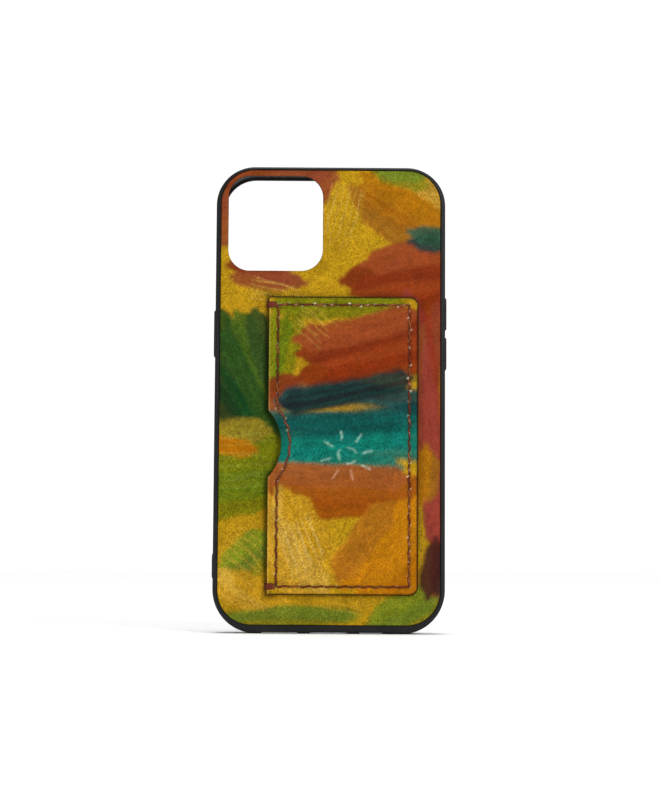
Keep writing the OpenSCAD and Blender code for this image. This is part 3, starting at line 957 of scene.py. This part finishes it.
THREAD_TINTS = ("#6e2f17", "#5a2412", "#78401f", "#642a15", "#804824")
NOTCH_TINTS = ("#6c3826", "#582b1d", "#75412d")


SHINE = 0.45
NEAR_ROW = 0.1


def on_notch(x, z):
    """Whether a stitch's middle lies on the bend round the thumb notch."""
    return abs(z - NOTCH_Z) < NOTCH_CHORD / 2 and SEAM_X0 + NEAR_ROW < x < 0


def painted_shine(x, z, i):
    """How strong stitch i's painted highlight is: only in the top and right rows, and unevenly."""
    if x < SEAM_X1 - NEAR_ROW and z < SEAM_Z1 - NEAR_ROW:
        return 0.0
    return SHINE * max(0.0, math.sin(1.9 * i + 0.4))


def stitch_row(name, holes, face, outward, radius):
    """A row of stitches as one piece."""
    bundle = Bundle()
    for i in range(len(holes) - 1):
        middle = (np.array(holes[i]) + np.array(holes[i + 1])) / 2
        slant = SLANT + SLANT_CHANGE * math.sin(2.3 * i)
        path = laid_stitch(holes[i], holes[i + 1], face, outward, slant)
        points, faces = strand(path, radius, STITCH_TWIST, phase=1.3 * i)
        tints = NOTCH_TINTS if on_notch(*middle) else THREAD_TINTS
        tint = tints[(3 * i + i // 4) % len(tints)]
        bundle.add(points, faces, tint, painted_shine(*middle, i))
    return bundle.piece(name)


TACK_OFF = 2.7
TACK_HIGH = 1.9
TACK_IN = 2.5
TACK_OUT = 0.85
TACK_STRANDS = 8
TACK_TINTS = ("#6d2c22", "#58241c", "#7d3c2c")
TACK_UNDER_TINT = "#4a2018"
TACK_UNDER_R = 0.14
# Neighbouring strands of a bar tack press into each other by this factor
TACK_PRESSED = 1.12


def bartack(name, z):
    """Dense strands over the pocket's open edge, on two strands that run up and down.

    Each dense strand comes out of the pocket's leather, crosses its edge and goes down
    into the back leather.
    """
    bundle = Bundle()
    edge = PANEL_LO[0]
    radius = TACK_HIGH / TACK_STRANDS / 2 * TACK_PRESSED
    for x in (edge + 0.1, edge + 1.5):
        path = [(x, FLANGE_Y - 0.06, z + TACK_HIGH * (t / 4 - 0.5) * 0.94) for t in range(5)]
        points, faces = strand(path, TACK_UNDER_R, 2.0)
        bundle.add(points, faces, TACK_UNDER_TINT)
    for i in range(TACK_STRANDS):
        level = z + TACK_HIGH * ((i + 0.5) / TACK_STRANDS - 0.5)
        ragged = 0.13 * math.sin(2.7 * i + z)
        lean = 0.1 * (-1) ** i
        top = FLANGE_Y - 0.17 - 0.03 * (i % 2)
        path = [(edge + TACK_IN + ragged, FLANGE_Y + 0.3, level + lean),
                (edge + TACK_IN - 0.12 + ragged, FLANGE_Y - 0.02, level + lean),
                (edge + TACK_IN - 0.4 + ragged, top, level + lean * 0.8),
                (edge + 1.3, top - 0.03, level),
                (edge + 0.25, top, level - lean * 0.3),
                (edge - 0.12, top + 0.14, level - lean * 0.5),
                (edge - 0.27, FLANGE_Y + 0.35, level - lean * 0.6),
                (edge - 0.36, LEATHER_BACK - 0.3, level - lean * 0.8),
                (edge - TACK_OUT + 0.12 + ragged * 0.5, LEATHER_BACK - 0.1, level - lean),
                (edge - TACK_OUT + ragged * 0.5, LEATHER_BACK + 0.25, level - lean)]
        points, faces = strand(smooth_curve(path, samples=3), radius, 4.0, phase=0.9 * i)
        bundle.add(points, faces, TACK_TINTS[i % len(TACK_TINTS)])
    return bundle.piece(name)


# ---- Materials ----

def feed(socket, value):
    """Gives a node's input a number or another node's output."""
    if isinstance(value, Value):
        socket.id_data.links.new(value.socket, socket)
    else:
        socket.default_value = value


def set_inputs(node, **values):
    """Sets a node's inputs; an underscore in a name stands for a space."""
    for name, value in values.items():
        feed(node.inputs[name.replace("_", " ")], value)


def add_node(tree, kind, **values):
    """A new shader node with its inputs set."""
    node = tree.nodes.new("ShaderNode" + kind)
    set_inputs(node, **values)
    return node


class Value:
    """An output of a shader node that can be added, multiplied and mapped."""

    def __init__(self, socket):
        self.socket = socket
        self.tree = socket.id_data

    def step(self, kind, other=0.0):
        """One arithmetic step with a number or another value."""
        node = add_node(self.tree, "Math")
        node.operation = kind
        feed(node.inputs[0], self)
        feed(node.inputs[1], other)
        return Value(node.outputs[0])

    def __add__(self, other):
        return self.step("ADD", other)

    def __sub__(self, other):
        return self.step("SUBTRACT", other)

    def __mul__(self, other):
        return self.step("MULTIPLY", other)

    def spread(self, low, high, to_low, to_high):
        """Maps a range to another range, and holds the value inside it."""
        node = add_node(self.tree, "MapRange", Value=self, From_Min=low, From_Max=high,
                        To_Min=to_low, To_Max=to_high)
        return Value(node.outputs["Result"])

    def clouded(self, low, high):
        """Maps a noise's usual range."""
        return self.spread(0.3, 0.7, low, high)

    def parts(self):
        """The red, green and blue of a colour."""
        node = add_node(self.tree, "SeparateColor", Color=self)
        return [Value(node.outputs[name]) for name in ("Red", "Green", "Blue")]

    def scaled(self, factor):
        """A colour made lighter or darker by a factor."""
        node = add_node(self.tree, "VectorMath")
        node.operation = "SCALE"
        feed(node.inputs[0], self)
        feed(node.inputs["Scale"], factor)
        return Value(node.outputs["Vector"])

    def between(self, dark, light):
        """A colour between two colours, dark at 0 and light at 1."""
        node = add_node(self.tree, "Mix", Factor=self)
        node.data_type = "RGBA"
        ends = [socket for socket in node.inputs if socket.type == "RGBA"]
        for socket, shade in zip(ends, (dark, light)):
            socket.default_value = (*linear(shade), 1)
        return Value([socket for socket in node.outputs if socket.type == "RGBA"][0])


class Look:
    """A material in the making, with patterns laid out in object coordinates."""

    def __init__(self, name):
        self.material = bpy.data.materials.new(name)
        self.material.use_nodes = True
        self.tree = self.material.node_tree
        self.shader = self.tree.nodes["Principled BSDF"]
        self.where = Value(self.add("TexCoord").outputs["Object"])

    def add(self, kind, **values):
        """A new shader node with its inputs set."""
        return add_node(self.tree, kind, **values)

    def print_colour(self):
        """The colour that is painted into the mesh."""
        paint = self.add("Attribute")
        paint.attribute_name = "print"
        return Value(paint.outputs["Color"])

    def noise(self, size_mm, detail=2.0, rough=0.5, output="Fac"):
        """Fine noise from 0 to 1 with features of about size_mm."""
        node = self.add("TexNoise", Vector=self.where, Scale=1 / (size_mm * MM),
                        Detail=detail, Roughness=rough)
        return Value(node.outputs[output])

    def cells(self, size_mm, where=None, feature="F1"):
        """Cells of about size_mm; F1 is 0 at their middles, DISTANCE_TO_EDGE at their edges."""
        node = self.add("TexVoronoi", Vector=where or self.where, Scale=1 / (size_mm * MM))
        node.feature = feature
        return Value(node.outputs["Distance"])

    def grown_cells(self, size_mm, bend_size_mm, reach_mm):
        """Distance to the edges of cells that noise has bent, so that they look grown."""
        bend = self.add("VectorMath")
        bend.operation = "MULTIPLY_ADD"
        feed(bend.inputs[0], self.noise(bend_size_mm, 3.0, output="Color"))
        feed(bend.inputs[1], [2 * reach_mm * MM] * 3)
        feed(bend.inputs[2], self.where)
        return self.cells(size_mm, Value(bend.outputs["Vector"]), "DISTANCE_TO_EDGE")

    def fibre_lines(self, angle):
        """Thin wavy lines that run along an angle: 1 on a line, 0 between the lines."""
        turned = self.add("Mapping", Vector=self.where, Rotation=(0, math.radians(angle), 0),
                          Scale=(FIBRE_LENGTH * MM, FIBRE_WIDTH * MM, FIBRE_WIDTH * MM))
        turned.vector_type = "TEXTURE"
        lines = self.add("TexNoise", Vector=Value(turned.outputs["Vector"]), Scale=1.0,
                         Detail=2.0)
        off_line = (Value(lines.outputs["Fac"]) - 0.5).step("ABSOLUTE")
        return off_line.spread(0.0, 0.07, 1.0, 0.0)

    def crossing_fibres(self):
        """Fibre lines in three directions, each in its own clouds."""
        clouds = self.noise(FIBRE_CLOUDS, output="Color").parts()
        first, second, third = [self.fibre_lines(angle) * cloud.spread(0.44, 0.56, 0.0, 1.0)
                                for angle, cloud in zip(FIBRE_ANGLES, clouds)]
        return first.step("MAXIMUM", second).step("MAXIMUM", third)

    def relief(self, height, depth_mm, strength, **values):
        """Gives the surface a fine relief."""
        node = self.add("Bump", Height=height, Strength=strength, Distance=depth_mm * MM,
                        **values)
        set_inputs(self.shader, Normal=Value(node.outputs["Normal"]))

    def surface(self, colour, roughness, **values):
        """Sets the shader's colour, roughness and other inputs, and gives the material."""
        set_inputs(self.shader, Base_Color=colour, Roughness=roughness, **values)
        return self.material


FIBRE_LENGTH = 3.4
FIBRE_WIDTH = 0.62
FIBRE_CLOUDS = 7.0
FIBRE_ANGLES = (-28, -70, 40)
GRAIN_CONTRAST = 0.42
GRAIN_IN_REDS = 0.6
VEIN_WIDTH = 0.12
VEIN_STRENGTH = 0.32
FIBRE_STRENGTH = 0.55
PLAIN_TONE = 0.84


def cracked_share(colour):
    """How much a colour shows the fibres: fully in golds and teals, faintly in reds."""
    red, green, _ = colour.parts()
    return (green - red * 0.3).spread(0.0, 0.07, 0.2, 1.0)


def painted_leather():
    """Printed, grained leather: its colours are in the mesh, its grain is here."""
    look = Look("printed_grained_leather")
    paint = look.print_colour()
    share = cracked_share(paint)
    speckle = look.noise(size_mm=0.38, detail=3.0, rough=0.75)
    clouds = look.noise(size_mm=2.4, detail=3.0)
    pores = look.cells(size_mm=0.62)
    creases = look.grown_cells(size_mm=1.9, bend_size_mm=1.3, reach_mm=0.9)
    veins = look.grown_cells(size_mm=1.1, bend_size_mm=0.9, reach_mm=0.5)

    grain = (speckle.clouded(-GRAIN_CONTRAST, GRAIN_CONTRAST)
             * share.spread(0.2, 1.0, GRAIN_IN_REDS, 1.0))
    pale = veins.spread(0.0, VEIN_WIDTH, VEIN_STRENGTH, 0.0) * share
    fibres = look.crossing_fibres() * share
    tone = grain + pale + PLAIN_TONE + fibres * FIBRE_STRENGTH
    tone = tone * clouds.clouded(0.96, 1.04) * pores.spread(0.0, 0.6, 1.03, 0.95)
    tone = tone * creases.spread(0.0, 0.1, 1.16, 0.98)

    height = speckle + pores.spread(0.0, 0.5, 0.6, 0.0) + creases.spread(0.0, 0.08, 0.0, 0.5)
    look.relief(height, depth_mm=0.05, strength=0.6)
    return look.surface(paint.scaled(tone), clouds.clouded(0.55, 0.7), Specular_IOR_Level=0.03)


def thread_material():
    """Waxed sewing thread; each stitch has its own tint in the mesh."""
    look = Look("waxed_brown_thread")
    fibre = look.noise(size_mm=0.12, rough=0.7)
    look.relief(fibre, depth_mm=0.03, strength=0.6)
    tint = look.print_colour().scaled(fibre.clouded(0.75, 1.25))
    return look.surface(tint, 0.6, Specular_IOR_Level=0.12)


def moulded(name, dark, light, low_rough, high_rough, round_mm):
    """A moulded plastic or rubber with a fine matt grain and softened edges."""
    look = Look(name)
    grain = look.noise(size_mm=0.35, detail=3.0, rough=0.6)
    drift = look.noise(size_mm=9.0)
    soft = look.add("Bevel", Radius=round_mm * MM)
    soft.samples = 6
    look.relief(grain, depth_mm=0.012, strength=0.5, Normal=Value(soft.outputs["Normal"]))
    return look.surface(drift.clouded(0.0, 1.0).between(dark, light),
                        grain.clouded(low_rough, high_rough), Specular_IOR_Level=0.22)


def fuzzy(name, dark, light):
    """A napped cloth."""
    look = Look(name)
    clouds = look.noise(size_mm=3.5, detail=3.0)
    nap = look.noise(size_mm=0.16, detail=4.0, rough=0.7) * clouds.clouded(0.7, 1.3)
    look.relief(nap, depth_mm=0.06, strength=0.8)
    return look.surface(nap.spread(0.25, 0.7, 0.0, 1.0).between(dark, light), 0.92,
                        Sheen_Weight=0.35)


# How often Blender's wave texture repeats in a length of 1 / scale, roughly
WAVE_REPEAT = 3.1


def woven(name, dark, light, pitch_mm):
    """A plain woven cloth: two crossing sets of threads."""
    look = Look(name)
    waves = []
    for axis in ("X", "Z"):
        node = look.add("TexWave", Vector=look.where, Distortion=0.4,
                        Scale=1 / (pitch_mm * MM) / WAVE_REPEAT)
        node.bands_direction = axis
        waves.append(Value(node.outputs["Fac"]))
    cloth = waves[0] * waves[1]
    look.relief(cloth, depth_mm=0.05, strength=0.7)
    return look.surface(cloth.between(dark, light), 0.85)


def film(name, dark, light):
    """A cured adhesive film with faint swirls."""
    look = Look(name)
    swirl = look.noise(size_mm=1.8, detail=4.0, rough=0.6)
    look.relief(swirl, depth_mm=0.02, strength=0.4)
    return look.surface(swirl.clouded(0.0, 1.0).between(dark, light), swirl.clouded(0.25, 0.45))


def dress(obj, material):
    """Puts one material on an object."""
    obj.data.materials.clear()
    obj.data.materials.append(material)


# ---- Assembly ----

def place(piece, material, slot, *replaced):
    """Dresses a new piece, lets it ride on the case and hides the CAD nodes it replaces."""
    dress(piece, material)
    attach(piece, "case")
    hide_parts(*replaced)


def build_leather():
    """The back's leather and the pocket's, of one material."""
    leather = painted_leather()
    place(make_back_leather(), leather, "printed_leather", "back_leather")
    place(make_pocket_panel(), leather, "printed_leather", "pocket_panel")


def build_linings():
    """The cloth inside the pocket and the soft lining the phone rests on."""
    cloth = woven("pocket_lining_weave", "#3a2d1c", "#7a6544", 0.35)
    place(make_pocket_lining(), cloth, "pocket_cloth", "pocket_lining")
    nap = fuzzy("charcoal_microfibre", "#25262a", "#4c4d53")
    place(make_microfibre(), nap, "microfibre", "microfibre_lining")


NEEDLE_THREAD_R = 0.27
SEAM_BOBBIN_R = 0.16
MOUTH_BOBBIN_R = 0.14


def on_panel(x, z):
    """The y of the needle threads' middle."""
    return panel_face(x, z) - 0.03


def under_leather(x, z):
    """The y of the seam's lower thread, in the back leather."""
    return LEATHER_HI[1] - 0.2


def under_lining(x, z):
    """The y of the topstitch's lower thread, behind the pocket's raised leather."""
    return FLANGE_Y + 0.4


def build_threads():
    """Every row of stitches and both bar tacks."""
    thread = thread_material()
    raised = [hole for hole in MOUTH_HOLES if panel_rise(*hole) == 1]
    rows = [
        ("pocket_seam_stitches", SEAM_HOLES, on_panel, -1, NEEDLE_THREAD_R,
         "pocket_seam_thread"),
        ("mouth_stitches", MOUTH_HOLES, on_panel, -1, NEEDLE_THREAD_R,
         "mouth_topstitch_thread"),
        ("pocket_seam_lower_stitches", SEAM_HOLES, under_leather, 1, SEAM_BOBBIN_R,
         "pocket_seam_bobbin_thread"),
        ("mouth_lower_stitches", raised, under_lining, 1, MOUTH_BOBBIN_R,
         "mouth_bobbin_thread"),
    ]
    for *row, node in rows:
        place(stitch_row(*row), thread, "brown_thread", node)
    for end, z in (("top", PANEL_HI[2] - TACK_OFF), ("bottom", PANEL_LO[2] + TACK_OFF)):
        place(bartack("bartack_" + end + "_strands", z), thread, "brown_thread",
              "bartack_" + end)


def dress_cad_nodes():
    """Materials for the CAD nodes whose own shape is shown."""
    rubber = moulded("black_rubber_grain", "#0f0f10", "#161617", 0.42, 0.6, 0.18)
    keys = moulded("black_key_rubber", "#131314", "#1a1a1b", 0.4, 0.55, 0.2)
    plate = moulded("dark_plate_plastic", "#2c2e32", "#3a3c41", 0.4, 0.6, 0.05)
    glue = film("cured_adhesive", "#b9b08c", "#d8d0b2")
    dress(NODES["bumper_frame"], rubber)
    for name in ("power_button", "volume_up_button", "volume_down_button"):
        dress(NODES[name], keys)
    dress(NODES["back_plate"], plate)
    for name in ("lining_adhesive", "leather_adhesive"):
        dress(NODES[name], glue)


# The surround lights the case less than it shows white to the camera
SKY_LIGHT = 0.42
SKY_SEEN = 1.05
FLOOR_HALF = 3.0


def build_stage():
    """A white floor and a white surround."""
    floor_mesh = bpy.data.meshes.new("floor")
    half = FLOOR_HALF
    corners = [(-half, -half, 0), (half, -half, 0), (half, half, 0), (-half, half, 0)]
    floor_mesh.from_pydata(corners, [], [(0, 1, 2, 3)])
    floor = bpy.data.objects.new("floor", floor_mesh)
    bpy.context.scene.collection.objects.link(floor)
    paper = Look("white_paper")
    shade = paper.noise(size_mm=400.0, detail=1.0)
    dress(floor, paper.surface(shade.between("#f4f4f4", "#f8f8f8"), 0.9))

    world = bpy.data.worlds.new("studio")
    world.use_nodes = True
    sky = world.node_tree
    seen = Value(add_node(sky, "LightPath").outputs["Is Camera Ray"])
    set_inputs(sky.nodes["Background"], Color=(1, 1, 1, 1),
               Strength=seen.spread(0.0, 1.0, SKY_LIGHT, SKY_SEEN))
    bpy.context.scene.world = world


def add_light(name, place_at, aim_at, size, power):
    """A square soft light."""
    light = bpy.data.lights.new(name, "AREA")
    light.size = size
    light.energy = power
    lamp = bpy.data.objects.new(name, light)
    lamp.location = place_at
    direction = Vector(aim_at) - Vector(place_at)
    lamp.rotation_euler = direction.to_track_quat("-Z", "Y").to_euler()
    bpy.context.scene.collection.objects.link(lamp)


def add_overhead(strength, softness):
    """A soft light from straight above that keeps the whole floor white."""
    light = bpy.data.lights.new("overhead", "SUN")
    light.energy = strength
    light.angle = math.radians(softness)
    bpy.context.scene.collection.objects.link(bpy.data.objects.new("overhead", light))


CAMERA_DISTANCE = 0.600
# Degrees that the camera sits below the case's middle, and that it is rolled
CAMERA_DROP = 5.0
CAMERA_ROLL = 0.36
CAMERA_SHIFT = (-0.001, -0.0011)
SENSOR = 36.0
IMAGE_H = 800
PIXELS_PER_METRE = 3068.0
CASE_MIDDLE = Vector((0.0, 0.0, round((cad_lo[2] + cad_hi[2]) / 2, 4)))


def build_camera():
    """A camera low in front of the leather side, looking slightly up."""
    data = bpy.data.cameras.new("camera")
    data.sensor_width = SENSOR
    data.lens = SENSOR * PIXELS_PER_METRE * CAMERA_DISTANCE / IMAGE_H
    data.clip_start = 0.01
    data.clip_end = 20.0
    camera = bpy.data.objects.new("camera", data)
    drop = math.radians(CAMERA_DROP)
    back = Vector((0.0, -math.cos(drop), -math.sin(drop)))
    camera.location = CASE_MIDDLE + back * CAMERA_DISTANCE
    aim = (-back).to_track_quat("-Z", "Y").to_matrix().to_4x4()
    turned = aim @ Matrix.Rotation(math.radians(CAMERA_ROLL), 4, "Z")
    camera.rotation_euler = turned.to_euler()
    data.shift_x, data.shift_y = CAMERA_SHIFT
    bpy.context.scene.collection.objects.link(camera)
    bpy.context.scene.camera = camera
    bpy.context.scene.view_settings.view_transform = "Standard"


build_camera()
build_stage()
add_light("key", (0.55, -0.75, 0.5), (0, 0, 0.07), 0.28, 5.0)
add_light("fill", (-0.7, -0.6, 0.2), (0, 0, 0.05), 0.6, 0.9)
add_overhead(2.15, 24.0)
dress_cad_nodes()
build_leather()
build_linings()
build_threads()
